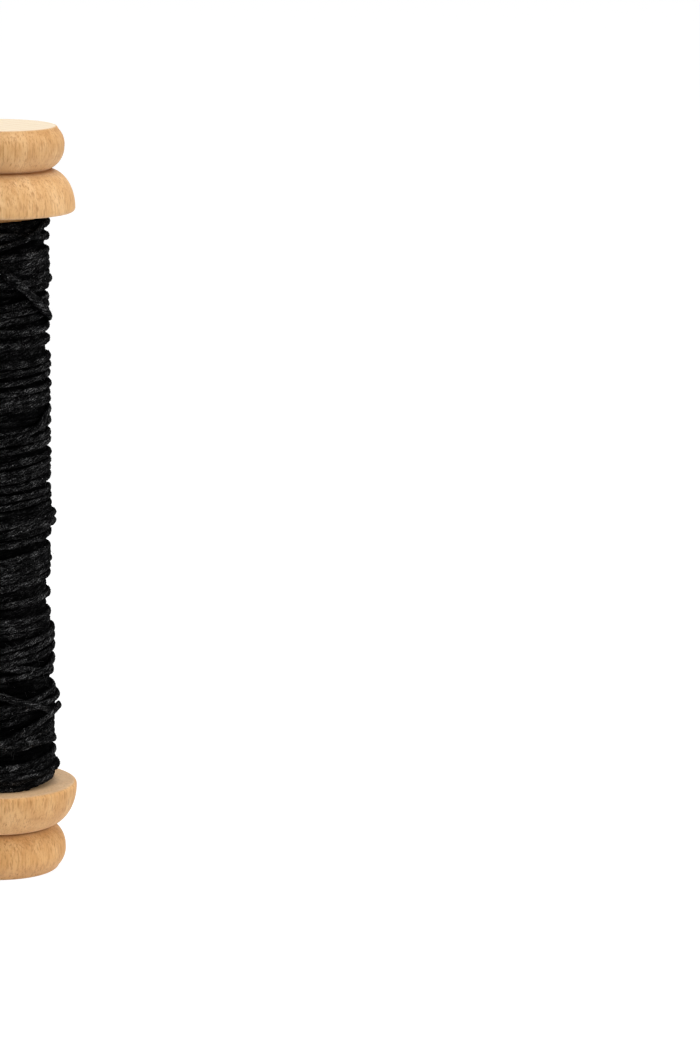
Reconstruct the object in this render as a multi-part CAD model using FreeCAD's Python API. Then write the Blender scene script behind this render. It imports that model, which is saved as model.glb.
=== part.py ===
import FreeCAD, Part
import math
import os

# A turned beech spool wound with black thread. Millimetres, +Z up the spool, and the
# origin at the centre of the foot's flat face, on the surface that the spool stands on.
# The wood is one turned piece. The thread is one strand, made here as the plain outer
# solids of its layers and of the two stretches that lie across them.

# Driving dimensions of the wood
spool_height = 115.0
barrel_end_radius = 6.3
barrel_middle_radius = 6.55
flange_radius = 11.7
knob_radius = 10.05
valley_radius = 7.6
face_radius = 8.55
head_length = 12.95
knob_length = 6.6
# The head at the foot is turned a little stouter than the head at the top.
foot_head_width_ratio = 1.03
foot_head_length_ratio = 1.05

# The rings cut in the barrel beside each flange, measured from the flange's inner face
first_groove_distance = 4.9
second_groove_distance = 13.1
groove_width = 1.45
groove_depth = 0.6

# Driving dimensions of the thread
strand_diameter = 1.1
first_layer_radius = 7.15
second_layer_radius = 8.1

foot_flange_height = head_length * foot_head_length_ratio
top_flange_height = spool_height - head_length
axis = FreeCAD.Vector(0, 0, 1)
centre = FreeCAD.Vector(0, 0, 0)


def point(radius, height):
    """A point of a lathe outline, in the plane through the axis."""
    return FreeCAD.Vector(radius, 0, height)


def line(start, end):
    return Part.LineSegment(start, end).toShape()


def arc(start, middle, end):
    return Part.Arc(start, middle, end).toShape()


def turn(edges):
    """Turn a closed outline, given as edges in order, round the axis."""
    face = Part.Face(Part.Wire(edges))
    return face.revolve(centre, axis, 360)


def head_edges(end_height, inwards, width_ratio, length_ratio):
    """Outline of one head, from the rim of its end face to the foot of its flange.

    inwards is 1 where the spool lies above the end face and -1 where it lies below.
    """

    def at(radius, depth):
        return point(radius * width_ratio, end_height + inwards * depth * length_ratio)

    crown_depth = 3.2
    rim_depth = 0.5
    rim_radius = face_radius + 0.55
    lip_depth = head_length - 0.6
    lip_radius = flange_radius - 0.45
    neck = point(barrel_end_radius, end_height + inwards * head_length * length_ratio)

    rim = arc(at(face_radius, 0), at(face_radius + 0.38, 0.14), at(rim_radius, rim_depth))
    shoulder = arc(
        at(rim_radius, rim_depth),
        at(knob_radius - 0.27, 0.45 * crown_depth),
        at(knob_radius, crown_depth),
    )
    back = arc(
        at(knob_radius, crown_depth),
        at(knob_radius - 0.72, 0.5 * (crown_depth + knob_length) + 0.45),
        at(valley_radius, knob_length),
    )
    # The flange's outer side is a quarter of an ellipse, steep at the valley.
    dome = Part.ArcOfEllipse(
        Part.Ellipse(
            at(valley_radius, knob_length),
            at(flange_radius, lip_depth),
            at(valley_radius, lip_depth),
        ),
        0,
        math.pi / 2,
    ).toShape()
    lip = arc(
        at(flange_radius, lip_depth),
        at(flange_radius - 0.13, lip_depth + 0.42),
        at(lip_radius, head_length),
    )
    inner_face = line(at(lip_radius, head_length), neck)
    return [rim, shoulder, back, dome, lip, inner_face]


def barrel_edges():
    """Outline between the flanges: two V grooves at each end and a slow swell between."""
    points = [point(barrel_end_radius, foot_flange_height)]
    for distance in (first_groove_distance, second_groove_distance):
        height = foot_flange_height + distance
        points.append(point(barrel_end_radius, height - groove_width / 2))
        points.append(point(barrel_end_radius - groove_depth, height))
        points.append(point(barrel_end_radius, height + groove_width / 2))
    lower = [line(a, b) for a, b in zip(points, points[1:])]

    swell_start = points[-1]
    points = []
    for distance in (second_groove_distance, first_groove_distance):
        height = top_flange_height - distance
        points.append(point(barrel_end_radius, height - groove_width / 2))
        points.append(point(barrel_end_radius - groove_depth, height))
        points.append(point(barrel_end_radius, height + groove_width / 2))
    points.append(point(barrel_end_radius, top_flange_height))
    upper = [line(a, b) for a, b in zip(points, points[1:])]

    swell_end = points[0]
    middle = point(barrel_middle_radius, (swell_start.z + swell_end.z) / 2)
    return lower + [arc(swell_start, middle, swell_end)] + upper


def make_spool():
    """The whole wooden spool, turned in one piece."""
    foot = head_edges(0, 1, foot_head_width_ratio, foot_head_length_ratio)
    top = head_edges(spool_height, -1, 1, 1)
    foot_rim = point(face_radius * foot_head_width_ratio, 0)
    top_rim = point(face_radius, spool_height)
    edges = [line(centre, foot_rim)]
    edges += foot
    edges += barrel_edges()
    edges += reversed(top)
    edges += [line(top_rim, point(0, spool_height)), line(point(0, spool_height), centre)]
    return turn(edges)


def sleeve(inner_radius, outer_radius, low, high):
    outer = Part.makeCylinder(outer_radius, high - low, point(0, low))
    return outer.cut(Part.makeCylinder(inner_radius, high - low, point(0, low)))


def bunch(inner_radius, crest_radius, low, high):
    """A ring of turns whose outside swells between its two edges."""
    shoulder_radius = inner_radius + 0.25 * (crest_radius - inner_radius)
    return turn(
        [
            line(point(inner_radius, low), point(shoulder_radius, low)),
            arc(
                point(shoulder_radius, low),
                point(crest_radius, (low + high) / 2),
                point(shoulder_radius, high),
            ),
            line(point(shoulder_radius, high), point(inner_radius, high)),
            line(point(inner_radius, high), point(inner_radius, low)),
        ]
    )


def make_first_layer(spool):
    """The first layer lies on the barrel and fills its grooves, from flange to flange."""
    solid = Part.makeCylinder(
        first_layer_radius, top_flange_height - foot_flange_height, point(0, foot_flange_height)
    )
    return solid.cut(spool)


def make_second_layer():
    """Bunches with the first layer showing between them, and an even stretch at the foot."""
    edges = [41.8, 51.2, 60.6, 65.8, 70.0, 76.9, 81.2, 90.0, 97.2, top_flange_height]
    crests = [8.45, 8.8, 8.15, 7.8, 8.1, 8.2, 8.4, 8.25, 7.8]
    rings = [sleeve(first_layer_radius, second_layer_radius, foot_flange_height, edges[0])]
    for low, high, crest in zip(edges, edges[1:], crests):
        gap = 0 if high == top_flange_height else strand_diameter / 4
        rings.append(bunch(first_layer_radius, crest, low + strand_diameter / 4, high - gap))
    return Part.makeCompound(rings)


def make_third_layer():
    """Three fat bunches in the lower third, the lowest one sitting on the flange."""
    edges = [foot_flange_height, 20.0, 30.0, 41.5]
    crests = [9.25, 9.25, 8.9]
    gap = strand_diameter / 10
    rings = []
    for low, high, crest in zip(edges, edges[1:], crests):
        start = low if low == foot_flange_height else low + gap
        rings.append(bunch(second_layer_radius, crest, start, high - gap))
    return Part.makeCompound(rings)


def slanting_strand(radius, height, tilt, node_azimuth, start, end, under):
    """A round strand along part of a tilted ring, cut where it dives under other thread.

    The ring crosses the level of height at node_azimuth, and rises by tilt there.
    start and end are angles along the ring from that crossing, all in degrees.
    """

    def along(angle):
        turn_angle = math.radians(angle)
        x = radius * math.cos(turn_angle)
        y = radius * math.sin(turn_angle) * math.cos(math.radians(tilt))
        z = radius * math.sin(turn_angle) * math.sin(math.radians(tilt))
        position = FreeCAD.Vector(x, y, z)
        spun = FreeCAD.Rotation(axis, node_azimuth).multVec(position)
        return spun + point(0, height)

    path = Part.Arc(along(start), along((start + end) / 2), along(end))
    tangent = path.tangent(path.FirstParameter)[0]
    ring = Part.Circle(along(start), tangent, strand_diameter / 2)
    section = Part.Wire(ring.toShape())
    strand = Part.Wire(path.toShape()).makePipeShell([section], True, True)
    for solid in under:
        strand = strand.cut(solid)
    return Part.makeCompound([max(strand.Solids, key=lambda piece: piece.Volume)])


def save(name, shape):
    shape.exportStep("parts/" + name + ".step")
    print(name, "valid", shape.isValid(), "solids", len(shape.Solids), "mm3", round(shape.Volume, 1))


os.makedirs("parts", exist_ok=True)
spool = make_spool()
first_layer = make_first_layer(spool)
second_layer = make_second_layer()
third_layer = make_third_layer()
crossing_turn = slanting_strand(8.95, 88.6, -38, -48, -52, 52, [first_layer, second_layer])
tucked_end = slanting_strand(9.35, 23.6, 17, -42, -50, 52, [second_layer, third_layer])

save("turned_spool", spool)
save("thread_first_layer", first_layer)
save("thread_second_layer", second_layer)
save("thread_third_layer", third_layer)
save("thread_crossing_turn", crossing_turn)
save("thread_tucked_end", tucked_end)
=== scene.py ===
import math

import bpy
import numpy as np
from bpy.props import FloatProperty, FloatVectorProperty, IntProperty, PointerProperty
from mathutils import Matrix, Vector


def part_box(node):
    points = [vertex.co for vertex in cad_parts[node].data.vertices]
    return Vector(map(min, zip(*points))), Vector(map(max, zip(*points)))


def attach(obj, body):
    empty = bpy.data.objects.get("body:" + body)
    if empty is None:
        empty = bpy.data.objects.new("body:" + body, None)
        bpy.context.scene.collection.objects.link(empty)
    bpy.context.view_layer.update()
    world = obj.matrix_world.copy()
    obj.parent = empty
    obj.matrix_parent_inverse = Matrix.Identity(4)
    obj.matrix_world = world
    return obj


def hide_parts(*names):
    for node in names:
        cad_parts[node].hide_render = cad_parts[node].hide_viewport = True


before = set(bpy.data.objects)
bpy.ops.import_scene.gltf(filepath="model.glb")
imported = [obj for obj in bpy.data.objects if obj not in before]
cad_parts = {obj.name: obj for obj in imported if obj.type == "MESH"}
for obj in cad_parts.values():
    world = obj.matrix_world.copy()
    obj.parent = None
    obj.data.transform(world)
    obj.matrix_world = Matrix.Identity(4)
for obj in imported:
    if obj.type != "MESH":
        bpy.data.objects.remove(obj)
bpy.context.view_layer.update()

bl_info = {
    "name": "Wound Thread Spool",
    "version": (1, 0, 0),
    "blender": (4, 5, 0),
    "location": "View3D > Sidebar > Spool",
    "description": "Turns a beech spool, winds it with black thread and lights it",
    "category": "Add Mesh",
}

MM = 0.001
SPOOL_LOW, SPOOL_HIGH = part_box("turned_spool")
SPOOL_HEIGHT = SPOOL_HIGH[2] - SPOOL_LOW[2]
# The first layer fills the barrel from flange to flange.
FOOT_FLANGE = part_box("thread_first_layer")[0][2]
TOP_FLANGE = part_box("thread_first_layer")[1][2]
HEAD_LENGTH = SPOOL_HEIGHT - TOP_FLANGE
FOOT_WIDTH_RATIO = 1.03
WORLD_LIGHT = 0.42
# Each lamp's place, the side of its square and its power in watts.
LAMPS = {
    "overhead": ((0.10, -0.10, 0.80), 0.5, 3.5),
    "right": ((0.80, -0.35, 0.40), 0.5, 3.7),
    "front_left": ((-0.60, -0.75, 0.35), 0.6, 1.5),
}
THREAD_NODES = {
    "first": ["thread_first_layer"],
    "second": ["thread_second_layer", "thread_crossing_turn"],
    "third": ["thread_third_layer", "thread_tucked_end"],
}


# ---------------- settings


def length(name, description, default):
    return FloatProperty(
        name=name, description=description, default=default, min=0.0, unit="LENGTH", precision=5
    )


def colour(name, description, default):
    return FloatVectorProperty(
        name=name, description=description, default=default, size=3, min=0.0, max=1.0,
        subtype="COLOR",
    )


class SpoolWoodSettings(bpy.types.PropertyGroup):
    """Sizes and colours of the turned spool."""

    flange_radius: length("Flange radius", "Widest radius of the top flange", 11.7 * MM)
    knob_radius: length("Knob radius", "Widest radius of the top knob", 10.05 * MM)
    valley_radius: length("Valley radius", "Radius at the valley behind the knob", 7.6 * MM)
    face_radius: length("Face radius", "Radius of the flat end face", 8.55 * MM)
    knob_length: length("Knob length", "From the end face to the valley", 6.6 * MM)
    barrel_end_radius: length("Barrel end radius", "Radius of the neck and the bands", 6.3 * MM)
    barrel_middle_radius: length("Barrel middle radius", "Radius of the swell", 6.55 * MM)
    sanding: length("Sanding", "Length over which sanding softens each corner", 0.28 * MM)
    ring_spacing: length("Growth ring spacing", "From one growth ring to the next", 1.9 * MM)
    around: IntProperty(
        name="Steps around", description="Faces round the spool", default=176, min=12,
        subtype="UNSIGNED",
    )
    beech: colour("Beech", "Side grain", (0.655, 0.385, 0.167))
    beech_dark: colour("Dark beech", "Late wood and mottling", (0.53, 0.275, 0.095))
    beech_pale: colour("Pale beech", "Pale mottling", (0.80, 0.54, 0.29))
    # Painted floor bounce: the paler, greyer colour of faces that look down.
    underside: colour("Underside", "Sides that face down", (0.72, 0.50, 0.31))
    # Painted shade at the foot of each valley, with a little burnished wood there.
    crease: colour("Crease", "Dust at the foot of each valley", (0.36, 0.135, 0.028))
    fleck: colour("Fleck", "Ray flecks and pores", (0.34, 0.155, 0.048))
    end_grain: colour("End grain", "Sanded end faces", (0.83, 0.715, 0.54))


class ThreadSettings(bpy.types.PropertyGroup):
    """Sizes and colours of the thread."""

    width: length("Strand width", "Width of the strand as it lies", 1.12 * MM)
    thickness: length("Strand thickness", "Thickness of the strand as it lies", 0.95 * MM)
    firmness: FloatProperty(
        name="Firmness", description="Share of the strand that neighbours can't press in",
        default=0.85, min=0.5, max=1.0, subtype="FACTOR",
    )
    twist: length("Ply twist", "Length of strand in which the plies turn once", 4.2 * MM)
    hair_length: length("Hair length", "Longest of the loose hairs", 1.1 * MM)
    hair_width: length("Hair width", "Width of one loose hair", 0.026 * MM)
    hairs: IntProperty(
        name="Hairs", description="Number of loose hairs", default=7500, subtype="UNSIGNED"
    )
    black: colour("Black", "The dyed fibre", (0.0006, 0.0006, 0.0007))
    loose_hair: colour("Loose hair", "The palest hairs", (0.12, 0.12, 0.12))
    lint: colour("Lint", "A few pale hairs of lint", (0.42, 0.42, 0.42))
    speck: colour("Speck", "Specks of dust on the strand", (0.24, 0.24, 0.24))
    # Painted highlight where the fibres catch the light.
    painted_fibre_highlight: colour("Worn", "Where fibres catch the light", (0.140, 0.140, 0.142))


class StageSettings(bpy.types.PropertyGroup):
    """The floor, the lamps and the camera."""

    distance: length("Camera distance", "From the spool's axis, along the floor", 0.7007)
    height: length("Camera height", "Above the floor", 0.1905)
    lens: FloatProperty(name="Lens", description="Focal length", default=159.7, unit="CAMERA")
    pitch: FloatProperty(
        name="Pitch", description="Downward tilt", default=math.radians(11.023), unit="ROTATION"
    )
    yaw: FloatProperty(
        name="Yaw", description="Turn to the right", default=math.radians(4.401), unit="ROTATION"
    )
    roll: FloatProperty(
        name="Roll", description="Turn about the view", default=math.radians(-0.74), unit="ROTATION"
    )
    floor: colour("Floor", "Pale floor", (0.90, 0.90, 0.90))


# ---------------- meshes


def add_piece(name, points, quads, triangles, smooth=True):
    """A mesh object at the origin, from arrays of points, quads and triangles."""
    mesh = bpy.data.meshes.new(name)
    sizes = np.concatenate([np.full(len(quads), 4), np.full(len(triangles), 3)])
    corners = np.concatenate([quads.ravel(), triangles.ravel()])
    mesh.vertices.add(len(points))
    mesh.vertices.foreach_set("co", points.astype(np.float32).ravel())
    mesh.loops.add(len(corners))
    mesh.loops.foreach_set("vertex_index", corners.astype(np.int32))
    mesh.polygons.add(len(sizes))
    starts = np.concatenate([[0], np.cumsum(sizes)[:-1]])
    mesh.polygons.foreach_set("loop_start", starts.astype(np.int32))
    mesh.polygons.foreach_set("use_smooth", np.full(len(sizes), smooth))
    mesh.update(calc_edges=True)
    mesh.validate()
    piece = bpy.data.objects.new(name, mesh)
    bpy.context.scene.collection.objects.link(piece)
    return piece


def set_attribute(piece, name, values):
    """One number for each point of the mesh, for its material to read."""
    attribute = piece.data.attributes.new(name, "FLOAT", "POINT")
    attribute.data.foreach_set("value", values.astype(np.float32).ravel())


def unit(vectors):
    """Each vector divided by its own length."""
    return vectors / np.linalg.norm(vectors, axis=1, keepdims=True)


def distance_along(points):
    """How far each point lies from the first, along the line through them all."""
    return np.concatenate([[0], np.cumsum(np.linalg.norm(np.diff(points, axis=0), axis=1))])


def ring_quads(rings, around):
    """Quads between rings of points, each ring closed on itself."""
    ring, step = np.meshgrid(np.arange(rings - 1), np.arange(around), indexing="ij")
    following = (step + 1) % around
    near, far = ring * around, (ring + 1) * around
    quads = np.stack([near + step, near + following, far + following, far + step], axis=-1)
    return quads.reshape(-1, 4)


def end_caps(rings, around):
    """Fans that close a tube on the two points that follow its rings."""
    step = np.arange(around)
    following = (step + 1) % around
    last = (rings - 1) * around
    first_point = np.full(around, last + around)
    first_fan = np.stack([first_point, following, step], axis=-1)
    last_fan = np.stack([last + step, last + following, first_point + 1], axis=-1)
    return np.concatenate([first_fan, last_fan])


def smooth_noise(random, count, spacing):
    """Random numbers at every spacing steps, joined by part squared * (3 - 2 * part)."""
    knots = random.normal(size=int(count / spacing) + 4)
    at = np.arange(count) / spacing
    low = at.astype(int)
    part = at - low
    ease = part * part * (3 - 2 * part)
    return knots[low] * (1 - ease) + knots[low + 1] * ease


def running_mean(values, window):
    """Each value averaged with its neighbours, and the ends held."""
    window = max(1, int(window) | 1)
    padded = np.pad(values, window // 2, mode="edge")
    return np.convolve(padded, np.ones(window) / window, mode="valid")


# ---------------- materials


def arithmetic(operation, swapped=False):
    """A method that joins a value to another one or to a number with a Math node."""

    def method(self, other):
        pair = (other, self) if swapped else (self, other)
        return self.calculate(operation, *pair)

    return method


class Value:
    """A number or colour inside a material. Arithmetic on it adds Math nodes."""

    def __init__(self, finish, socket):
        self.finish = finish
        self.socket = socket

    def calculate(self, operation, *values):
        """One Math node on these values."""
        settings = {"operation": operation}
        sockets = dict(enumerate(values))
        return self.finish.node("ShaderNodeMath", settings, sockets)

    __add__ = arithmetic("ADD")
    __radd__ = arithmetic("ADD", swapped=True)
    __sub__ = arithmetic("SUBTRACT")
    __rsub__ = arithmetic("SUBTRACT", swapped=True)
    __mul__ = arithmetic("MULTIPLY")
    __pow__ = arithmetic("POWER")

    def fraction(self):
        """What is left above the whole number."""
        return self.calculate("FRACT", self)

    def clamped(self):
        """Held between 0 and 1."""
        return self.calculate("MINIMUM", self.calculate("MAXIMUM", self, 0.0), 1.0)

    def rising(self, low, high):
        """0 below low, 1 above high and a smooth step between."""
        settings = {"interpolation_type": "SMOOTHSTEP"}
        sockets = {"Value": self, "From Min": low, "From Max": high}
        return self.finish.node("ShaderNodeMapRange", settings, sockets)


class NodeTree:
    """The nodes of a material or of the world."""

    def __init__(self, owner):
        owner.use_nodes = True
        self.tree = owner.node_tree

    def node(self, kind, settings, sockets, output=None):
        """Add a node: its settings first, then each socket's value or link."""
        node = self.tree.nodes.new(kind)
        for name, value in settings.items():
            setattr(node, name, value)
        for key, value in sockets.items():
            self.feed(node.inputs[key], value)
        shown = [socket for socket in node.outputs if socket.enabled]
        return Value(self, node.outputs[output] if output is not None else shown[0])

    def feed(self, socket, value):
        """Link a value to the socket, or set the socket's own constant."""
        if isinstance(value, Value):
            self.tree.links.new(value.socket, socket)
        elif hasattr(socket.default_value, "__len__") and len(value) < len(socket.default_value):
            socket.default_value = (*value, 1.0)
        else:
            socket.default_value = value


class Finish(NodeTree):
    """One node material on a Principled shader."""

    def __init__(self, name):
        self.material = bpy.data.materials.new(name)
        super().__init__(self.material)
        self.shader = self.tree.nodes["Principled BSDF"]

    def set(self, **sockets):
        """Feed the shader's sockets, named with _ for a space."""
        for name, value in sockets.items():
            self.feed(self.shader.inputs[name.replace("_", " ")], value)

    def mix(self, factor, first, second, blend="MIX"):
        """Mix two colours."""
        settings = {"data_type": "RGBA", "blend_type": blend}
        return self.node("ShaderNodeMix", settings, {0: factor, 6: first, 7: second})

    def place(self):
        """Object coordinates, in metres."""
        return self.node("ShaderNodeTexCoord", {}, {}, "Object")

    def attribute(self, name):
        """A number that the mesh carries at each point."""
        return self.node("ShaderNodeAttribute", {"attribute_name": name}, {}, "Fac")

    def component(self, vector, axis):
        """The X, Y or Z of a vector."""
        return self.node("ShaderNodeSeparateXYZ", {}, {"Vector": vector}, axis)

    def stretched(self, vector, scale, turn=0.0):
        """Coordinates turned about Z and then multiplied along each axis."""
        turned = self.node("ShaderNodeMapping", {}, {"Vector": vector, "Rotation": (0, 0, turn)})
        return self.node("ShaderNodeMapping", {}, {"Vector": turned, "Scale": scale})

    def noise(self, vector, scale=1.0, detail=3.0, roughness=0.55):
        """Cloudy noise from 0 to 1, mostly near 0.5."""
        sockets = {"Vector": vector, "Scale": scale, "Detail": detail, "Roughness": roughness}
        return self.node("ShaderNodeTexNoise", {}, sockets)

    def noise_line(self, position, scale, detail, roughness=0.5):
        """Noise that changes along one position only."""
        sockets = {"W": position, "Scale": scale, "Detail": detail, "Roughness": roughness}
        return self.node("ShaderNodeTexNoise", {"noise_dimensions": "1D"}, sockets)

    def cells(self, vector, output="Distance"):
        """Distance to the nearest of scattered points, or that point's own colour."""
        sockets = {"Vector": vector, "Scale": 1.0, "Randomness": 1.0}
        return self.node("ShaderNodeTexVoronoi", {"feature": "F1"}, sockets, output)

    def bump(self, height, strength, distance):
        """A normal tilted as if the surface rose by height times distance."""
        sockets = {"Height": height, "Strength": strength, "Distance": distance}
        return self.node("ShaderNodeBump", {}, sockets)


def beech_finish(settings):
    """Sanded beech: growth rings, ray flecks, pores, mottling and faint lathe lines, with painted
    shade and a little burnish in the valleys, and a painted floor bounce, paler and greyer, on
    faces that look down.
    """
    finish = Finish("turned_beech")
    place = finish.place()
    # The tree's heart lies on the far side of the spool's axis, 45 degrees round from +X.
    grain_turn = math.radians(45)
    end = finish.attribute("end_grain")
    # Painted shade, with a little burnish, at the foot of each valley.
    crease = finish.attribute("crease")
    # Painted floor bounce on faces that look down.
    underside = finish.attribute("underside")
    outline = finish.attribute("outline")

    wander = finish.noise(finish.stretched(place, (90, 90, 25), grain_turn), detail=2.0)
    rings = finish.stretched(place, (1 / settings.ring_spacing, 0, 0), grain_turn)
    across = finish.component(rings, "X")
    ring = (across + wander * 1.8 + 40.0).fraction()
    late_wood = ring.rising(0.55, 0.97) * (1.0 - ring.rising(0.97, 1.0))

    fibre = finish.noise(finish.stretched(place, (3600, 3600, 330), grain_turn), detail=4.0)
    streak = finish.noise(finish.stretched(place, (1500, 1500, 170), grain_turn), detail=3.0)
    mottle = finish.noise(finish.stretched(place, (420, 420, 150), grain_turn), detail=4.0)

    rays = finish.stretched(place, (1500, 3400, 680), grain_turn)
    ray_chance = finish.node(
        "ShaderNodeSeparateColor", {}, {"Color": finish.cells(rays, "Color")}, "Red"
    )
    flecks = (1.0 - finish.cells(rays).rising(0.14, 0.40)) * ray_chance.rising(0.45, 0.95)
    pores = finish.stretched(place, (6000, 6000, 1500), grain_turn)
    pore_dots = 1.0 - finish.cells(pores).rising(0.10, 0.38)

    colour = finish.mix(late_wood * 0.20, settings.beech, settings.beech_dark)
    colour = finish.mix(mottle.rising(0.45, 0.75) * 0.60, colour, settings.beech_dark)
    colour = finish.mix((1.0 - mottle.rising(0.25, 0.55)) * 0.60, colour, settings.beech_pale)
    colour = finish.mix(streak.rising(0.46, 0.70) * 0.55, colour, settings.beech_dark)
    colour = finish.mix(fibre.rising(0.48, 0.70) * 0.56, colour, settings.fleck)
    # Darker and warmer towards the bottom, over the lowest 50 mm of the spool, and a little darker
    # on the top knob.
    height = finish.component(place, "Z")
    colour = finish.mix(1.0 - height.rising(0.0, 0.05), colour, (0.97, 0.90, 0.78), "MULTIPLY")
    top_knob = height.rising(SPOOL_HEIGHT - 8 * MM, SPOOL_HEIGHT - 5.5 * MM)
    colour = finish.mix(top_knob, colour, (0.90, 0.86, 0.80), "MULTIPLY")
    # Painted floor bounce: faces that look down are paler and greyer.
    colour = finish.mix(underside * 0.42, colour, settings.underside)
    colour = finish.mix(end * 0.92, colour, settings.end_grain)
    colour = finish.mix(late_wood * end * 0.50, colour, (0.70, 0.52, 0.34))
    colour = finish.mix(flecks * (0.70 - end * 0.54), colour, settings.fleck)
    colour = finish.mix(pore_dots * (0.36 - end * 0.26), colour, settings.fleck)
    # Painted shade at the foot of each valley, with a little burnished wood there.
    colour = finish.mix(crease * 0.80, colour, settings.crease)

    lathe = finish.noise_line(outline, scale=3.1, detail=3.0, roughness=0.7)
    relief = fibre * 0.5 - flecks * 0.6 - pore_dots * 0.4 + lathe * 0.5
    finish.set(
        Base_Color=colour,
        Roughness=0.58 + fibre * 0.12 - flecks * 0.08,
        Specular_IOR_Level=0.3,
        Normal=finish.bump(relief, 0.5, 0.04 * MM),
    )
    return finish.material


def thread_finish(settings):
    """Soft spun thread: grainy fibres that run with the plies, with painted highlights where the
    fibres catch the light, and painted shade in the hollows, on the strands' sides and under the
    top flange.
    """
    finish = Finish("black_spun_thread")
    surface = finish.node("ShaderNodeUVMap", {"uv_map": "strand"}, {})
    along = finish.component(surface, "X")
    round_strand = finish.component(surface, "Y")
    with_ply = finish.node(
        "ShaderNodeCombineXYZ", {}, {"X": along, "Y": round_strand - along * 0.32, "Z": 0.0}
    )
    place = finish.place()
    # Painted light: 0 in the hollows and under the top flange, where shade is painted.
    open_air = finish.attribute("open_air")
    outer = finish.attribute("outer_side").rising(-0.1, 0.95)
    fibres = finish.noise(finish.stretched(with_ply, (0.6, 5.6, 1.0)), detail=4.0, roughness=0.65)
    streaks = finish.noise(finish.stretched(surface, (0.22, 1.7, 1.0)), detail=3.0)
    grain = finish.noise(place, scale=5000.0, detail=2.0, roughness=0.7)
    tufts = finish.noise(place, scale=700.0, detail=2.0)
    stretch = finish.noise_line(along, scale=0.16, detail=2.0)
    lit = (fibres * 0.52 + grain * 0.48).rising(0.435, 0.68)
    patchy = (0.35 + tufts.rising(0.35, 0.70) * 0.9) * (0.62 + stretch.rising(0.35, 0.65) * 0.7)
    streaky = 0.35 + streaks.rising(0.36, 0.66) * 1.15
    # Painted shade in the hollows, under the top flange and on the strands' sides.
    painted_shade = (0.06 + open_air * 0.94) * (0.10 + outer)
    # Painted highlight on the fibres, dimmed by the painted shade.
    painted_highlight = lit ** 1.6 * patchy * streaky * painted_shade
    # Dust specks, dimmed by the painted shade in the hollows.
    rare = finish.cells(finish.stretched(place, (1000, 1000, 1000)))
    specks = (1.0 - rare.rising(0.05, 0.10)) * open_air

    # The black fibre, with the painted highlight over it.
    colour = finish.mix(painted_highlight.clamped(), settings.black, settings.painted_fibre_highlight)
    colour = finish.mix(specks * 0.7, colour, settings.speck)
    finish.set(
        Base_Color=colour,
        Roughness=0.92 - painted_highlight * 0.15,
        Specular_IOR_Level=0.006,
        Normal=finish.bump(fibres + grain, 1.0, 0.16 * MM),
    )
    return finish.material


def hair_finish(settings):
    """Loose fibres of the thread, a little greyer than the strand where they stand alone."""
    finish = Finish("loose_thread_hair")
    tone = finish.attribute("tone")
    colour = finish.mix(tone.rising(0.2, 0.95), settings.black, settings.loose_hair)
    colour = finish.mix(tone.rising(0.985, 0.99), colour, settings.lint)
    finish.set(Base_Color=colour, Roughness=0.8, Specular_IOR_Level=0.05)
    return finish.material


# ---------------- the wooden spool


def arc_through(start, middle, end, count=60):
    """Points on the circle through three points, from start by middle to end.

    Seen from start, the centre c solves side . c = side . side / 2 for both other points.
    """
    start, middle, end = (np.array(p, float) for p in (start, middle, end))
    sides = np.array([middle - start, end - start])
    centre = start + np.linalg.solve(sides, 0.5 * (sides * sides).sum(axis=1))
    turns = [math.atan2(p[1] - centre[1], p[0] - centre[0]) for p in (start, middle, end)]
    full = 2 * math.pi
    forward = (turns[1] - turns[0]) % full < (turns[2] - turns[0]) % full
    sweep = (turns[2] - turns[0]) % full if forward else -((turns[0] - turns[2]) % full)
    angle = turns[0] + sweep * np.linspace(0, 1, count)
    radius = np.linalg.norm(start - centre)
    return centre + radius * np.stack([np.cos(angle), np.sin(angle)], axis=1)


def head_outline(wood, width_ratio, length_ratio):
    """Radius and depth from the middle of the end face to the neck.

    A flat face, a rounded knob of two arcs, a sharp valley, a flange whose outer side is
    a quarter of an ellipse, a small lip and a flat inner face. The ellipse has radius
    valley + (flange - valley) * sin(q) and depth lip - (lip - knob length) * cos(q).
    """
    crown_depth = 3.2 * MM
    rim = (wood.face_radius + 0.55 * MM, 0.5 * MM)
    lip_depth = HEAD_LENGTH - 0.6 * MM
    valley = (wood.valley_radius, wood.knob_length)
    crown = (wood.knob_radius, crown_depth)
    back_depth = (crown_depth + wood.knob_length) / 2 + 0.45 * MM
    quarter = np.linspace(0, math.pi / 2, 80)
    dome = np.stack(
        [
            wood.valley_radius + (wood.flange_radius - wood.valley_radius) * np.sin(quarter),
            lip_depth - (lip_depth - wood.knob_length) * np.cos(quarter),
        ],
        axis=1,
    )
    parts = [
        np.array([(0.0, 0.0), (wood.face_radius, 0.0)]),
        arc_through(
            (wood.face_radius, 0), (wood.face_radius + 0.38 * MM, 0.14 * MM), rim, 12
        ),
        arc_through(rim, (wood.knob_radius - 0.27 * MM, 0.45 * crown_depth), crown),
        arc_through(crown, (wood.knob_radius - 0.72 * MM, back_depth), valley),
        dome,
        arc_through(
            (wood.flange_radius, lip_depth),
            (wood.flange_radius - 0.13 * MM, lip_depth + 0.42 * MM),
            (wood.flange_radius - 0.45 * MM, HEAD_LENGTH),
            12,
        ),
        np.array([(wood.barrel_end_radius / width_ratio, HEAD_LENGTH)]),
    ]
    return np.concatenate(parts) * (width_ratio, length_ratio)


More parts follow.
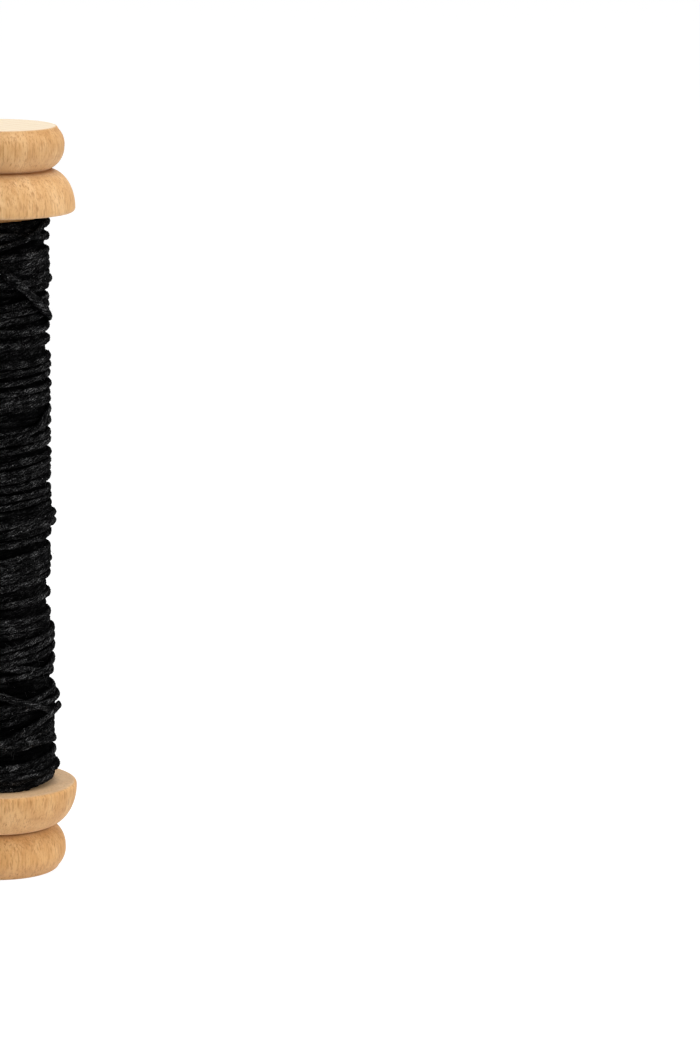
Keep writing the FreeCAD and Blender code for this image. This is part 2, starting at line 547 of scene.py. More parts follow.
def barrel_radius(wood, height):
    """Radius of the barrel at each height: straight bands, V grooves and a slow swell.

    The swell is end radius + 4 * part * (1 - part) * (middle radius - end radius), where
    part runs from 0 to 1 over the swell. A groove takes away depth * (1 - away / half width).
    """
    groove_depth, groove_half_width = 0.6 * MM, 0.725 * MM
    swell_low, swell_high = FOOT_FLANGE + 13.8 * MM, TOP_FLANGE - 13.8 * MM
    part = np.clip((height - swell_low) / (swell_high - swell_low), 0, 1)
    radius = wood.barrel_end_radius + 4 * part * (1 - part) * (
        wood.barrel_middle_radius - wood.barrel_end_radius
    )
    for distance in (4.9 * MM, 13.1 * MM):
        for middle in (FOOT_FLANGE + distance, TOP_FLANGE - distance):
            groove = np.clip(1 - np.abs(height - middle) / groove_half_width, 0, 1)
            radius = radius - groove_depth * groove
    return radius


def spool_outline(wood):
    """The whole lathe outline from the foot's middle to the top's middle, sanded."""
    foot = head_outline(wood, FOOT_WIDTH_RATIO, FOOT_FLANGE / HEAD_LENGTH)
    top = head_outline(wood, 1.0, 1.0)[::-1] * (1, -1) + (0, SPOOL_HEIGHT)
    height = np.arange(FOOT_FLANGE + 0.05 * MM, TOP_FLANGE, 0.05 * MM)
    barrel = np.stack([barrel_radius(wood, height), height], axis=1)
    outline = np.concatenate([foot, barrel, top])
    keep = np.concatenate([[True], np.linalg.norm(np.diff(outline, axis=0), axis=1) > 1e-9])
    outline = outline[keep]

    along = distance_along(outline)
    fine_step = 0.04 * MM
    fine = np.arange(0, along[-1], fine_step)
    even = np.stack([np.interp(fine, along, outline[:, k]) for k in (0, 1)], axis=1)
    window = wood.sanding / fine_step
    sanded = np.stack([running_mean(even[:, k], window) for k in (0, 1)], axis=1)
    sanded[0], sanded[-1] = outline[0], outline[-1]

    # Close steps on the heads, long ones on the barrel, which the thread hides.
    under_thread = (sanded[:, 1] > FOOT_FLANGE + 1 * MM) & (sanded[:, 1] < TOP_FLANGE - 1 * MM)
    step = np.where(under_thread, 0.55 * MM, 0.16 * MM)
    flat = (sanded[:, 0] < wood.face_radius - 0.6 * MM) & ~under_thread
    step = np.where(flat & (sanded[:, 0] < wood.barrel_end_radius), 0.8 * MM, step)
    count = np.concatenate([[0], np.cumsum(fine_step / step)[:-1]])
    at = np.interp(np.arange(0, count[-1]), count, np.arange(len(count)))
    picked = np.unique(np.concatenate([at.astype(int), [0, len(count) - 1]]))
    return sanded[picked], fine[picked]


def turned_surface(wood):
    """The outline carried round the axis, a few hundredths of a millimetre out of true.

    A point at angle t and outline radius r stands at r + r * 0.0012 * cos(2t + 0.6).
    """
    outline, along = spool_outline(wood)
    angle = np.arange(wood.around) * 2 * math.pi / wood.around
    radius = outline[1:-1, :1] * (1 + 0.0012 * np.cos(2 * angle + 0.6))
    height = np.repeat(outline[1:-1, 1:], wood.around, axis=1)
    rings = np.stack([radius * np.cos(angle), radius * np.sin(angle), height], axis=-1)
    poles = np.array([(0, 0, outline[0, 1]), (0, 0, outline[-1, 1])])
    points = np.concatenate([rings.reshape(-1, 3), poles])
    return points, outline, along


def make_spool(wood):
    """The turned spool, with what its finish reads at each point of the outline.

    With s the outline's direction, the end grain shows where its share across the axis,
    |s across|, passes 0.75, as ((|s across| - 0.75) / 0.25) squared. The painted shade in
    the valleys fades as exp(-(d / 0.17 mm) squared), where d is the height above or below a
    valley. The painted floor bounce on faces that look down follows s across where it is above 0.
    """
    points, outline, along = turned_surface(wood)
    quads = ring_quads(len(outline) - 2, wood.around)
    caps = end_caps(len(outline) - 2, wood.around)
    spool = add_piece("turned_beech_spool", points, quads, caps)

    slope = np.gradient(outline, axis=0)
    across = slope[:, 0] / np.maximum(np.linalg.norm(slope, axis=1), 1e-9)
    facing_end = np.clip((np.abs(across) - 0.75) / 0.25, 0, 1) ** 2
    inside = (outline[:, 1] > 5 * MM) & (outline[:, 1] < SPOOL_HEIGHT - 5 * MM)
    facing_end = np.where(inside, 0.3 * facing_end, facing_end)
    valleys = np.array(
        [wood.knob_length * FOOT_FLANGE / HEAD_LENGTH, SPOOL_HEIGHT - wood.knob_length]
    )
    from_valley = np.abs(outline[:, 1:] - valleys).min(axis=1)
    values = {
        "outline": along / MM,
        "end_grain": facing_end,
        # Painted shade, with a little burnish, at the foot of each valley.
        "crease": np.exp(-((from_valley / (0.17 * MM)) ** 2)),
        # Painted floor bounce on faces that look down.
        "underside": np.clip(across, 0, 1),
    }
    for name, profile in values.items():
        rings = np.repeat(profile[1:-1], wood.around)
        set_attribute(spool, name, np.concatenate([rings, profile[[0, -1]]]))
    spool.data.materials.append(beech_finish(wood))
    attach(spool, "root")
    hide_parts("turned_spool")
    return spool


# ---------------- the thread

STEPS = 72
STEP_ANGLE = 2 * math.pi / STEPS
FIRST_AZIMUTH = 180.0
SPRING, SPRING_STEPS = 0.25 * MM, 6
# How the strand's width wavers: each wave's share of the width, and its spacing.
WAVERS = ((0.08, 1.8 * MM), (0.07, 11 * MM))

# How the winder's hand went. Each row is one sweep: the height that it ends at on the
# spool's right side, in millimetres, its whole turns, the azimuth where it ends, the rise
# of its turns from one side of the spool to the other, and the azimuth of their highest
# point. The strand turns the way azimuth grows.
FIRST_SWEEPS = [
    (101.3, 83, 160, 0.3, 20),
]
SECOND_SWEEPS = [
    (96.6, 0, 150, 0.6, 20),
    (90.9, 5, 60, 1.5, 10),
    (89.6, 0, 150, 1.4, 20),
    (87.0, 2, 60, 1.8, 20),
    (85.6, 0, 150, 1.6, 20),
    (82.2, 1, 60, 1.6, 20),
    (97.3, 0, -92, 0.0, 0),
    (100.4, 0, -18, 0.0, 0),
    (100.5, 0, 60, 0.0, 0),
    (98.0, 0, 150, 0.3, 0),
    (94.3, 0, -92, 0.3, 0),
    (85.9, 0, -18, 0.0, 0),
    (85.2, 0, 60, 0.0, 0),
    (80.9, 0, 150, 1.0, 0),
    (77.5, 2, 60, 1.8, 15),
    (76.5, 0, 150, 1.6, 0),
    (73.4, 2, 60, 1.6, 15),
    (70.1, 0, 150, 1.6, 0),
    (66.9, 2, 60, 1.8, 20),
    (67.6, 0, -85, 0.0, 0),
    (72.2, 0, -8, 0.0, 0),
    (71.9, 0, 60, 0.6, 0),
    (65.4, 0, 150, 1.8, 0),
    (61.8, 3, 60, 2.2, 15),
    (60.3, 0, 150, 1.8, 0),
    (54.0, 5, 60, 1.8, 15),
    (57.4, 0, 150, 2.0, 0),
    (54.8, 1, 150, 2.6, 5),
    (51.8, 0, -95, 0.6, 0),
    (53.3, 0, 0, 0.0, 0),
    (54.0, 0, 150, 0.6, 15),
    (52.9, 0, -92, 0.0, 0),
    (55.6, 0, -48, 0.0, 0),
    (54.2, 0, 5, 0.0, 0),
    (51.0, 0, 150, 1.4, 10),
    (46.9, 4, 60, 2.6, 15),
    (44.6, 0, 150, 2.4, 15),
    (43.0, 0, 60, 2.6, 15),
    (41.2, 0, 150, 1.8, 0),
    (24.0, 15, 60, 1.2, 20),
    (14.4, 9, 60, 0.5, 20),
]
THIRD_SWEEPS = [
    (14.6, 0, 150, 0.6, 15),
    (18.1, 3, 60, 1.4, 15),
    (17.2, 0, 150, 1.6, 20),
    (16.2, 0, 60, 1.8, 20),
    (20.7, 0, 150, 2.4, 10),
    (23.4, 2, 60, 2.8, 15),
    (25.8, 0, 150, 2.6, 10),
    (28.7, 3, 60, 3.0, 15),
    (30.6, 0, 150, 2.6, -10),
    (33.6, 0, -92, 1.0, 0),
    (30.9, 0, 0, 0.0, 0),
    (31.0, 0, 60, 0.0, 0),
    (32.3, 0, 150, 2.4, 10),
    (33.2, 0, 60, 2.2, 15),
    (34.8, 0, 150, 2.6, 15),
    (37.7, 2, 60, 2.8, 15),
    (29.2, 0, -92, 1.0, 0),
    (24.6, 0, 0, 0.0, 0),
    (21.6, 0, 150, 0.0, 0),
    (20.9, 0, 0, 0.6, 0),
    (20.6, 0, 150, 0.6, 0),
    (21.4, 0, -92, 0.0, 0),
    (26.9, 0, -8, 0.0, 0),
]


def planned_heights(sweeps, start_height, start_azimuth, random, wander):
    """Azimuth and height at each step of the strand.

    A sweep moves evenly from the last height to its own. On top of it the turns lean:
    lean * (cos(t - highest) - cos(highest)), which leaves the right side's height alone.
    Here t is the azimuth and lean is half the sweep's rise.
    """
    azimuths, heights, cosines, sines = [], [], [], []
    azimuth, height = start_azimuth, start_height
    for end_height, turns, end_azimuth, rise, highest in sweeps:
        part = round(((end_azimuth - azimuth) % 360) / 360 * STEPS)
        count = turns * STEPS + part
        t = np.arange(count) / count
        azimuths.append(azimuth + np.arange(count) * 360 / STEPS)
        heights.append(height + (end_height * MM - height) * t)
        cosines.append(np.full(count, rise / 2 * MM * math.cos(math.radians(highest))))
        sines.append(np.full(count, rise / 2 * MM * math.sin(math.radians(highest))))
        azimuth += count * 360 / STEPS
        height = end_height * MM
    azimuths = np.radians(np.concatenate(azimuths))
    heights = running_mean(np.concatenate(heights), STEPS / 9)
    cosines = running_mean(np.concatenate(cosines), STEPS / 4)
    sines = running_mean(np.concatenate(sines), STEPS / 4)
    heights = heights + cosines * (np.cos(azimuths) - 1) + sines * np.sin(azimuths)
    drift = smooth_noise(random, len(heights), STEPS * 0.35)
    tremor = smooth_noise(random, len(heights), STEPS * 0.10)
    return azimuths, heights + wander * drift + 0.2 * wander * tremor, azimuth, height


class Winding:
    """The growing surface of the wound thread: its radius at each azimuth and height.

    Each new turn settles on it: its middle
    is the lowest radius at which the strand's oval section clears the surface, a taut
    strand runs straight wherever nothing holds it out, and the surface then rises to
    the strand's own top.
    """

    CELL = 0.08 * MM
    WOUND_RADIUS = 7.5 * MM  # a usual radius of a turn, for its slope
    TAUT_ROUNDS = 50  # passes that pull one turn straight

    def __init__(self, wood, thread):
        self.heights = np.arange(FOOT_FLANGE - 2 * MM, TOP_FLANGE + 2 * MM, self.CELL)
        self.surface = np.tile(barrel_radius(wood, self.heights), (STEPS, 1))
        self.half_width = thread.width / 2 * thread.firmness
        self.half_thickness = thread.thickness / 2 * thread.firmness
        self.last_radius = None
        self.last_shift = 0.0

    def section(self, azimuths, heights):
        """Which cells lie under the strand, and how far its section stands above its middle.

        The section is an oval: half thickness * root(1 - (distance / half width) squared).
        A strand that climbs is cut at a slant, so its half width grows by root(1 + slope squared).
        """
        slope = np.gradient(heights) / (self.WOUND_RADIUS * STEP_ANGLE)
        half = self.half_width * np.sqrt(1 + slope**2)
        reach = int(1.6 * self.half_width / self.CELL)
        cells = np.round((heights - self.heights[0]) / self.CELL).astype(int)
        rows = (np.round(azimuths / STEP_ANGLE).astype(int) % STEPS)[:, None]
        columns = cells[:, None] + np.arange(-reach, reach + 1)
        columns = np.clip(columns, 0, len(self.heights) - 1)
        away = (self.heights[columns] - heights[:, None]) / half[:, None]
        above = self.half_thickness * np.sqrt(np.clip(1 - away**2, 0, None))
        return rows, columns, np.where(np.abs(away) < 1, above, -1.0)

    def settle(self, azimuths, heights, slip):
        """Let the strand slip sideways into the nearest furrow, as far as its stiffness allows.

        The effort of a shift is the radius that it needs + 0.35 * shift squared, in millimetres.
        Each shift weighs exp(-(effort - least effort) / 0.06 mm) in the mean.
        """
        shifts = np.linspace(-slip, slip, 11)
        ridge = []
        for shift in shifts:
            rows, columns, above = self.section(azimuths, heights + shift)
            ridge.append((self.surface[rows, columns] + above).max(axis=1))
        effort = np.stack(ridge, axis=1) + 0.35 * shifts**2 / MM
        pull = np.exp(-(effort - effort.min(axis=1, keepdims=True)) / (0.06 * MM))
        best = (pull * shifts).sum(axis=1) / pull.sum(axis=1)
        low, high = FOOT_FLANGE + self.half_width, TOP_FLANGE - self.half_width
        return np.clip(heights + running_mean(best, STEPS / 9), low, high)

    def lay(self, azimuths, heights, slip):
        """The strand's settled heights and the radius of its middle, one turn at a time."""
        radius = np.empty(len(heights))
        heights = heights.copy()
        ahead = STEPS // 6
        for first in range(0, len(heights), STEPS):
            last = min(first + STEPS, len(heights))
            count = last - first
            seen = slice(first, min(last + ahead, len(heights)))
            settled = self.settle(azimuths[seen], heights[seen], slip)
            blend = np.clip(np.arange(len(settled)) / ahead, 0, 1) if first else 1.0
            settled = settled + (1 - blend) * self.last_shift
            rows, columns, above = self.section(azimuths[seen], settled)
            held = (self.surface[rows, columns] + above).max(axis=1)
            before = held[0] if self.last_radius is None else self.last_radius
            taut = np.concatenate([[before], held, held[-1:]])
            for _ in range(self.TAUT_ROUNDS):
                chord = 0.5 * (taut[:-2] + taut[2:]) * math.cos(STEP_ANGLE)
                taut[1:-1] = np.maximum(held, chord)
            radius[first:last] = taut[1 : count + 1]
            rows, columns, above = rows[:count], columns[:count], above[:count]
            top = np.where(above > -0.5, radius[first:last, None] + above, 0.0)
            self.surface[rows, columns] = np.maximum(self.surface[rows, columns], top)
            if last < len(heights):
                following = slice(last, last + 1 + ahead)
                coming = self.settle(azimuths[following], heights[following], slip)
                self.last_shift = settled[count] - coming[0]
            heights[first:last] = settled[:count]
            self.last_radius = radius[last - 1]
        return heights, radius


def strand_path(azimuths, heights, radius):
    """Points at (radius * cos(azimuth), radius * sin(azimuth), height)."""
    return np.stack([radius * np.cos(azimuths), radius * np.sin(azimuths), heights], axis=1)


def strand_frames(path):
    """Along, outward and sideways directions at each point of the path."""
    along = unit(np.gradient(path, axis=0))
    outward_way = path * (1, 1, 0)
    outward_way = unit(
        outward_way - along * (outward_way * along).sum(axis=1, keepdims=True)
    )
    return along, outward_way, np.cross(along, outward_way)


def ply_radius(angle, turned, offset=0.32, plies=3):
    """Outline of plies side by side: the furthest of their circles at each angle, about 1.

    A ply is a circle of radius 1 - offset whose middle stands at offset from the strand's
    own. At angle a from its middle it reaches offset * cos(a) + root(ply squared -
    (offset * sin(a)) squared).
    """
    centres = turned[..., None] + np.arange(plies) * 2 * math.pi / plies
    apart = angle[..., None] - centres
    ply = 1 - offset
    inside = np.clip(ply**2 - (offset * np.sin(apart)) ** 2, 0, None)
    return (offset * np.cos(apart) + np.sqrt(inside)).max(axis=-1)


def strand_rings(path, thread, around, random, spread, cut_end):
    """Rings round the path: an oval of twisted plies whose width changes slowly.

    The point at angle a stands width * cos(a) sideways and thickness * sin(a) outwards,
    times the plies' outline at that angle.
    """
    along, outward_way, sideways = strand_frames(path)
    count = len(path)
    distance = distance_along(path)
    step = distance[-1] / count
    swelling = np.zeros(count)
    for share, spacing in WAVERS:
        swelling = swelling + share * smooth_noise(random, count, spacing / step)
    swelling = 1 + np.clip(swelling, -0.28, 0.25) / spread**2
    # The strand is pulled thin where it climbs steeply, and slack where it comes down.
    climb = running_mean(along[:, 2], 6 * MM / step) / 0.3
    pulled, slack = np.clip(climb - 0.8, 0, 1), np.clip(-climb - 0.8, 0, 1)
    swelling = swelling * (1 - 0.3 * pulled + 0.28 * slack)
    if cut_end:
        # The plies loosen near the cut, and the strand is wider there.
        loose_length, loose_width = 4 * MM, 1.2
        tight = np.clip((distance[-1] - distance) / loose_length, 0, 1)
        swelling = swelling * tight + loose_width * (1 - tight)
    flatness = 1 + 0.06 * smooth_noise(random, count, 9 * MM / step)
    angle = -math.pi / 2 + np.arange(around) * 2 * math.pi / around
    twist_turn = 2 * math.pi * distance / thread.twist
    twist_turn = twist_turn + 0.8 * smooth_noise(random, count, 24 * MM / step)
    plies = ply_radius(angle[None, :], twist_turn[:, None])
    fluff = 1 + np.clip(0.05 * random.normal(size=(count, around)), -0.12, 0.12)
    closing = np.ones(count)
    if cut_end:
        closing[-2:] = 1.0, 0.92
    scale = plies * fluff * closing[:, None]
    wide = (thread.width / 2 * spread * swelling * flatness)[:, None] * scale * np.cos(angle)
    thick = (thread.thickness / 2 * swelling / flatness)[:, None] * scale * np.sin(angle)
    rings = (
        path[:, None, :]
        + wide[..., None] * sideways[:, None, :]
        + thick[..., None] * outward_way[:, None, :]
    )
    return rings, distance


def grid_place(path, winding):
    """The row and column of the winding's surface under each point of the path."""
    rows = np.round(np.arctan2(path[:, 1], path[:, 0]) / STEP_ANGLE).astype(int) % STEPS
    columns = np.round((path[:, 2] - winding.heights[0]) / winding.CELL).astype(int)
    return rows, np.clip(columns, 0, len(winding.heights) - 1)


def finer(path, steps_a_turn):
    """The same path with more steps in each turn, spaced evenly in azimuth."""
    azimuths = np.unwrap(np.arctan2(path[:, 1], path[:, 0]))
    count = int(len(path) * steps_a_turn / STEPS)
    at = np.linspace(0, len(path) - 1, count)
    known = np.arange(len(path))
    radius = np.interp(at, known, np.hypot(path[:, 0], path[:, 1]))
    return strand_path(np.interp(at, known, azimuths), np.interp(at, known, path[:, 2]), radius)


def painted_light_level(path, winding):
    """The painted light on a strand: 0, full painted shade, where it lies in a hollow or close
    under the top flange, 1 where it stands proud.

    It is 0.55 + p / 0.8 mm, where p is how far the strand's top stands above the mean
    surface within 2.5 mm of it.
    """
    window = 5.0 * MM / winding.CELL
    level = np.apply_along_axis(running_mean, 1, winding.surface, window)
    top = np.hypot(path[:, 0], path[:, 1]) + winding.half_thickness
    proud = top - level[grid_place(path, winding)]
    # Painted shadow of the top flange, fading over 5.5 mm below it.
    below_flange = np.clip((TOP_FLANGE - path[:, 2]) / (5.5 * MM), 0, 1)
    return np.clip(0.55 + proud / (0.8 * MM), 0, 1) * (0.2 + 0.8 * below_flange)


def make_strand(name, path, thread, around, random, material, open_air, spread, cut_end):
    """A closed tube of twisted plies along the path, with its own map of the surface."""
    rings, distance = strand_rings(path, thread, around, random, spread, cut_end)
    count = len(path)
    points = np.concatenate([rings.reshape(-1, 3), path[[0, -1]]])
    quads, caps = ring_quads(count, around), end_caps(count, around)
    corners = points[quads[:, :3]]
    volume = np.einsum("ij,ij->i", corners[:, 0], np.cross(corners[:, 1], corners[:, 2])).sum()
    if volume < 0:
        quads, caps = quads[:, ::-1], caps[:, ::-1]
    strand = add_piece(name, points, quads, caps)

    # The map runs in millimetres: along the strand, and round it from its inner side.
    girth = math.pi * (thread.width + thread.thickness) / 2
    ring, step = np.meshgrid(np.arange(count - 1), np.arange(around), indexing="ij")
    u = distance[np.stack([ring, ring, ring + 1, ring + 1], axis=-1)]
    v = np.stack([step, step + 1, step + 1, step], axis=-1) / around * girth
    sides = np.stack([u, v], axis=-1).reshape(-1, 4, 2)
    if volume < 0:
        sides = sides[:, ::-1]
    ends = np.zeros((len(caps) * 3, 2))
    ends[len(ends) // 2 :, 0] = distance[-1]
    layer = strand.data.uv_layers.new(name="strand")
    layer.data.foreach_set(
        "uv", (np.concatenate([sides.reshape(-1, 2), ends]) / MM).astype(np.float32).ravel()
    )
    # How much painted light the strand gets, for its finish to read.
    set_attribute(strand, "open_air", np.append(np.repeat(open_air, around), open_air[[0, -1]]))
    # Which side of the strand faces out; the finish paints shade on its sides with it.
    outer = np.sin(-math.pi / 2 + np.arange(around) * 2 * math.pi / around)
    set_attribute(strand, "outer_side", np.append(np.tile(outer, count), [0.5, 0.5]))
    strand.data.materials.append(material)
    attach(strand, "root")
    return strand, distance[-1]


def make_hairs(name, path, count, winding, thread, random, material):
    """Loose hairs where a strand lies open: bent three-sided spikes.

    A hair leaves the strand's outer half and leans along it. At part t of its length its
    middle is root + length * (t * its first way + t squared * bend / 2).
    """
    along, outward_way, sideways = strand_frames(path)
    radius = np.hypot(path[:, 0], path[:, 1])
    covered = winding.surface[grid_place(path, winding)]
    open_steps = np.flatnonzero(radius + winding.half_thickness > covered - 0.1 * MM)

    rings, sides = 6, 3
    pick = random.choice(open_steps, count)
    lean = random.uniform(-1.2, 1.2, count)
    normal = (
        np.cos(lean)[:, None] * outward_way[pick] + np.sin(lean)[:, None] * sideways[pick]
    )
    slip = random.uniform(-0.5, 0.5, (count, 1)) * 0.6 * MM
    root = (
        path[pick]
        + slip * along[pick]
        + np.cos(lean)[:, None] * winding.half_thickness * 0.85 * outward_way[pick]
        + np.sin(lean)[:, None] * winding.half_width * 0.85 * sideways[pick]
    )
    sign = random.choice([-1.0, 1.0], (count, 1))
    start_way = normal * random.uniform(0.25, 1.0, (count, 1)) + along[pick] * sign
    start_way = unit(start_way + 0.5 * random.normal(size=(count, 3)))
    bend = random.normal(size=(count, 3)) * 0.6
    long = thread.hair_length * random.uniform(0.25, 1.0, count) ** 1.5
    t = np.linspace(0, 1, rings)
    middle = (
        root[:, None, :]
        + (long[:, None] * t)[..., None] * start_way[:, None, :]
        + (long[:, None] * t**2)[..., None] * bend[:, None, :] * 0.5
    )
    middle = middle - start_way[:, None, :] * 0.1 * MM
    across = unit(np.cross(start_way, random.normal(size=(count, 3))))
    other = np.cross(start_way, across)
    thin = thread.hair_width / 2 * (1 - 0.6 * t)
    turn = np.arange(sides) * 2 * math.pi / sides
    offsets = (
        np.cos(turn)[None, None, :, None] * across[:, None, None, :]
        + np.sin(turn)[None, None, :, None] * other[:, None, None, :]
    )
    points = middle[:, :, None, :] + thin[None, :, None, None] * offsets
    one = ring_quads(rings, sides)
    first = np.arange(count)[:, None, None] * rings * sides
    quads = (first + one).reshape(-1, 4)
    tip = (rings - 1) * sides
    caps = np.array([[0, 2, 1], [tip, tip + 1, tip + 2]])
    caps = (first + caps).reshape(-1, 3)
    points = points.reshape(-1, 3)
    hairs = add_piece(name, points, quads, caps)
    set_attribute(hairs, "tone", np.repeat(random.uniform(size=count), rings * sides))
    hairs.data.materials.append(material)
    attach(hairs, "root")
    return hairs


def wind_layers(wood, thread):
    """The path of each layer's strand, and the surface that they end with."""
    random = np.random.default_rng(7)
    winding = Winding(wood, thread)
    azimuth, height = FIRST_AZIMUTH, FOOT_FLANGE + thread.width * 0.55
    room = thread.width * 0.58
    paths = []
    # Each layer's sweeps, how far the winder's hand wanders and how far the strand slips.
    plans = [(FIRST_SWEEPS, 0.02, 0.02), (SECOND_SWEEPS, 0.22, 0.34), (THIRD_SWEEPS, 0.26, 0.36)]
    for sweeps, wander, slip in plans:
        azimuths, heights, azimuth, height = planned_heights(
            sweeps, height, azimuth, random, wander * MM
        )
        heights = np.clip(heights, FOOT_FLANGE + room, TOP_FLANGE - room)
        if paths:
            azimuths = np.concatenate([[azimuths[0] - STEP_ANGLE], azimuths])
            heights = np.concatenate([paths[-1][-1:, 2], heights])
        heights, radius = winding.lay(azimuths, heights, slip * MM)
        if sweeps is THIRD_SWEEPS:
            # The cut end springs away from the turns that it crosses.
            radius[-SPRING_STEPS:] = (
                radius[-SPRING_STEPS] + np.linspace(0, 1, SPRING_STEPS) ** 1.5 * SPRING
            )
        path = strand_path(azimuths, heights, radius)
        smooth = path.copy()
        smooth[1:-1] = 0.25 * path[:-2] + 0.5 * path[1:-1] + 0.25 * path[2:]
        if paths:
            smooth[0] = paths[-1][-1]
        paths.append(smooth)
    return paths, winding


def make_thread(wood, thread):
    """The three layers of strand and their loose hairs, in place of the thread's parts from
    model.glb.
    """
    paths, winding = wind_layers(wood, thread)
    random = np.random.default_rng(11)
    material, hair_material = thread_finish(thread), hair_finish(thread)
    # Each layer's name, its steps in a turn and corners round the strand, its share of the
    # hairs, and how far the turns above it press it wider.
    layers = [
        ("first", 72, 10, 0.05, 1.25),
        ("second", 112, 12, 0.60, 1.08),
        ("third", 180, 18, 0.35, 1.06),
    ]
    for (layer, steps_a_turn, around, hair_share, spread), path in zip(layers, paths):
        path = finer(path, steps_a_turn)
        last = layer == "third"
        name = f"thread_{layer}_layer"
        # Where the finish paints light and shade on this layer's strand.
        open_air = painted_light_level(path, winding)
        strand, long = make_strand(
            f"{name}_strand", path, thread, around, random, material, open_air, spread, last
        )
        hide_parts(*THREAD_NODES[layer])
        count = int(thread.hairs * hair_share)
        hairs = make_hairs(f"{name}_hairs", path, count, winding, thread, random, hair_material)


# ---------------- the stage


def seen_white(nodes):
    """1 for a ray that the camera, gloss or clear matter sends out, and 0 for the others."""
    camera = nodes.node("ShaderNodeLightPath", {}, {}, "Is Camera Ray")
    glossy = nodes.node("ShaderNodeLightPath", {}, {}, "Is Glossy Ray")
    transmission = nodes.node("ShaderNodeLightPath", {}, {}, "Is Transmission Ray")
    return (camera + glossy + transmission).clamped()


def make_floor(stage):
    """A floor that runs out of sight, and looks white but for the object's soft shadow."""
    side = 3.0
    points = np.array([(-side, -side, 0), (side, -side, 0), (side, side, 0), (-side, side, 0)])
    floor = add_piece("floor", points, np.array([[0, 1, 2, 3]]), np.empty((0, 3), int), False)
    finish = Finish("pale_floor")
    finish.set(Base_Color=tuple(stage.floor), Roughness=0.9, Specular_IOR_Level=0.0)
    white = finish.node("ShaderNodeEmission", {}, {"Color": (1, 1, 1), "Strength": 1.2})
    shader = Value(finish, finish.shader.outputs[0])
    seen = seen_white(finish) * 0.75
    mixed = finish.node("ShaderNodeMixShader", {}, {0: seen, 1: shader, 2: white})
    finish.tree.links.new(mixed.socket, finish.tree.nodes["Material Output"].inputs["Surface"])
    floor.data.materials.append(finish.material)


def add_lamp(name, place, aim, size, power):
    """A square soft lamp at place, facing aim."""
    data = bpy.data.lights.new(name, "AREA")
    data.shape = "SQUARE"
    data.size = size
    data.energy = power
    lamp = bpy.data.objects.new(name, data)
    lamp.location = place
    way = np.array(aim, float) - np.array(place, float)
    lamp.rotation_euler = Vector(way).to_track_quat("-Z", "Y").to_euler()
    bpy.context.scene.collection.objects.link(lamp)


def set_world():
    """White to the camera and to gloss, and a quieter white as light."""
    world = bpy.data.worlds.new("studio")
    bpy.context.scene.world = world
    nodes = NodeTree(world)
    background = nodes.tree.nodes["Background"]
    nodes.feed(background.inputs["Color"], (1.0, 1.0, 1.0))
    strength = WORLD_LIGHT + seen_white(nodes) * (1.0 - WORLD_LIGHT)
    nodes.feed(background.inputs["Strength"], strength)


def add_camera(stage):
    """The camera in front of the spool, a little above its top.

    It looks along (sin(yaw) * cos(pitch), cos(yaw) * cos(pitch), -sin(pitch)), and roll
    turns it about that line.
    """
    data = bpy.data.cameras.new("camera")
    data.lens = stage.lens
    data.sensor_width = 36.0
    data.clip_start = 0.01
    data.clip_end = 20.0
    camera = bpy.data.objects.new("camera", data)
    pitch, yaw, roll = stage.pitch, stage.yaw, stage.roll
    forward = np.array(
        [math.sin(yaw) * math.cos(pitch), math.cos(yaw) * math.cos(pitch), -math.sin(pitch)]
    )
    level = np.array([math.cos(yaw), -math.sin(yaw), 0.0])
    down = np.cross(forward, level)
    right = math.cos(roll) * level + math.sin(roll) * down
    up = math.sin(roll) * level - math.cos(roll) * down
    axes = np.eye(4)
    axes[:3, 0], axes[:3, 1], axes[:3, 2] = right, up, -forward
    axes[:3, 3] = (0.0, -stage.distance, stage.height)
    camera.matrix_world = Matrix(axes)
    bpy.context.scene.collection.objects.link(camera)
    bpy.context.scene.camera = camera


# ---------------- operators and panel


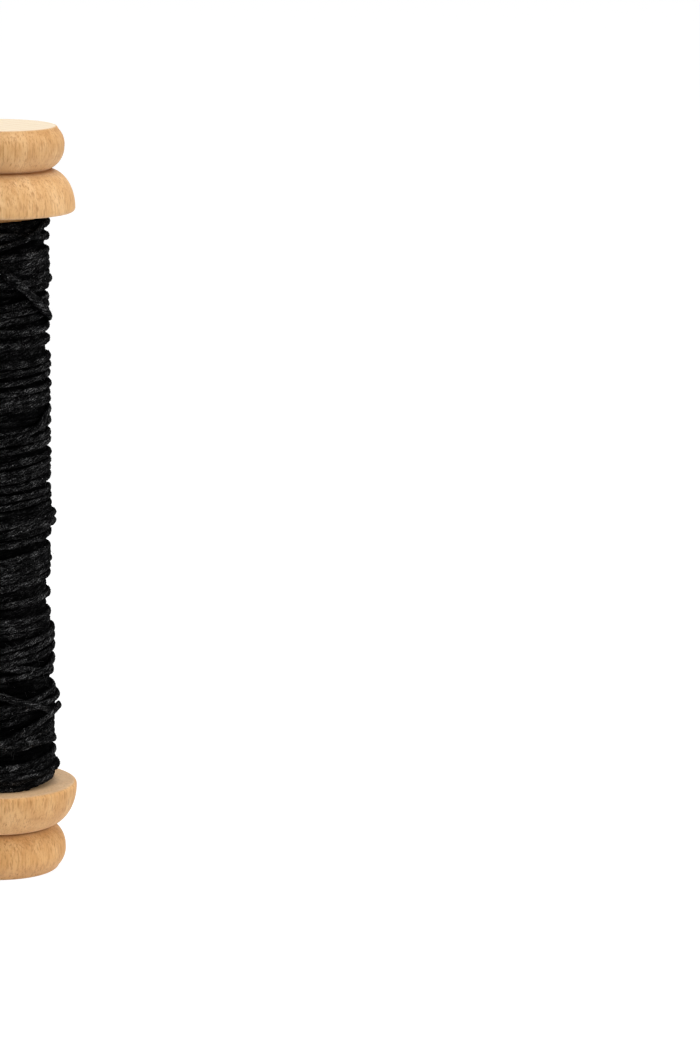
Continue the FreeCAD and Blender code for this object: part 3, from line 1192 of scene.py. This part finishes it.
class TurnSpool(bpy.types.Operator):
    """Turn the beech spool on its axis"""

    bl_idname = "spool.turn_wood"
    bl_label = "Turn Spool"

    def execute(self, context):
        make_spool(context.scene.spool_wood)
        return {"FINISHED"}


class WindThread(bpy.types.Operator):
    """Wind the thread on the spool, layer by layer, with its loose hairs"""

    bl_idname = "spool.wind_thread"
    bl_label = "Wind Thread"

    def execute(self, context):
        make_thread(context.scene.spool_wood, context.scene.spool_thread)
        return {"FINISHED"}


class SetStage(bpy.types.Operator):
    """Set the floor, the lamps, the world and the camera"""

    bl_idname = "spool.set_stage"
    bl_label = "Set Stage"

    def execute(self, context):
        stage = context.scene.spool_stage
        make_floor(stage)
        set_world()
        middle = (0.0, 0.0, SPOOL_HEIGHT / 2)
        for name, (place, size, power) in LAMPS.items():
            add_lamp(name, place, middle, size, power)
        add_camera(stage)
        context.scene.view_settings.view_transform = "Standard"
        return {"FINISHED"}


class SpoolPanel(bpy.types.Panel):
    """The spool's operators and settings"""

    bl_idname = "VIEW3D_PT_wound_spool"
    bl_label = "Wound Spool"
    bl_space_type = "VIEW_3D"
    bl_region_type = "UI"
    bl_category = "Spool"

    def draw(self, context):
        for operator in OPERATORS:
            self.layout.operator(operator.bl_idname)
        for group in ("spool_wood", "spool_thread", "spool_stage"):
            settings = getattr(context.scene, group)
            box = self.layout.box()
            for name in settings.__annotations__:
                box.prop(settings, name)


GROUPS = {
    "spool_wood": SpoolWoodSettings,
    "spool_thread": ThreadSettings,
    "spool_stage": StageSettings,
}
OPERATORS = (TurnSpool, WindThread, SetStage)


def register():
    for kind in (*GROUPS.values(), *OPERATORS, SpoolPanel):
        bpy.utils.register_class(kind)
    for name, kind in GROUPS.items():
        setattr(bpy.types.Scene, name, PointerProperty(type=kind))


def unregister():
    for name in GROUPS:
        delattr(bpy.types.Scene, name)
    for kind in (SpoolPanel, *reversed(OPERATORS), *reversed(GROUPS.values())):
        bpy.utils.unregister_class(kind)


def main():
    register()
    bpy.ops.spool.set_stage()
    bpy.ops.spool.turn_wood()
    bpy.ops.spool.wind_thread()


if __name__ == "__main__":
    main()
